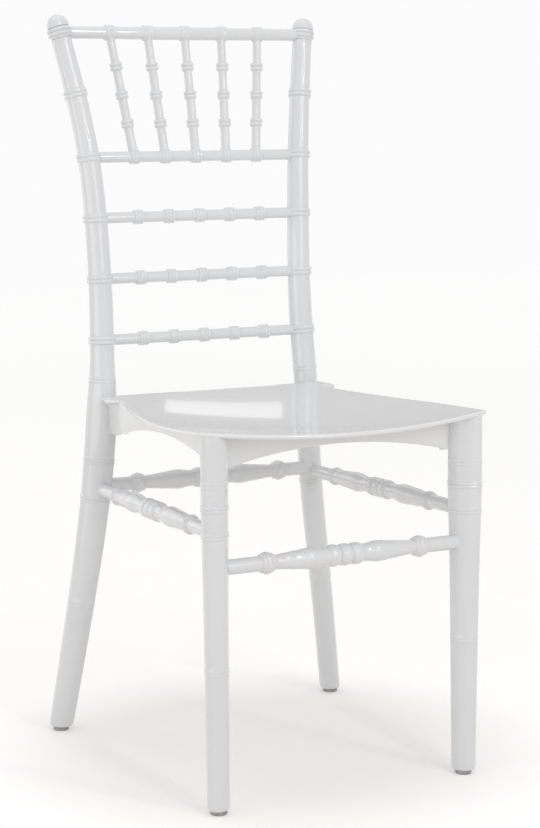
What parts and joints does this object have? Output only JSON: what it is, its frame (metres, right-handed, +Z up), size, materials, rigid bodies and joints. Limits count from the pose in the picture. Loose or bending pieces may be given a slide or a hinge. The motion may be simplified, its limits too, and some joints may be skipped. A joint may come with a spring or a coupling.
{
  "type": "chiavari chair",
  "caption": "White glossy resin ballroom chair with bamboo-style turned legs, rails and spindles and a thin dished seat.",
  "frame": {"origin": "on the floor, under the middle of the chair's bounding box", "axes": "+Z up, the front of the seat faces -Y, +X to the sitter's left"},
  "size_m": [0.4276, 0.4793, 0.9148],
  "materials": {
    "white_resin": "gloss",
    "dark_glide": "matte",
    "bolt_steel": "satin",
    "insert_brass": "satin"
  },
  "bodies": {
    "root": {"seat": "white_resin", "front_leg_left": "white_resin", "front_leg_right": "white_resin", "back_post_left": "white_resin", "back_post_right": "white_resin", "crest_rail": "white_resin", "panel_rail": "white_resin", "slat_low": "white_resin", "slat_middle": "white_resin", "slat_high": "white_resin", "spindle_1": "white_resin", "spindle_2": "white_resin", "spindle_3": "white_resin", "spindle_4": "white_resin", "spindle_5": "white_resin", "front_stretcher": "white_resin", "rear_stretcher": "white_resin", "side_stretcher_left": "white_resin", "side_stretcher_right": "white_resin", "floor_glides": "dark_glide", "corner_bolts": "bolt_steel", "threaded_inserts": "insert_brass"}
  },
  "joints": []
}
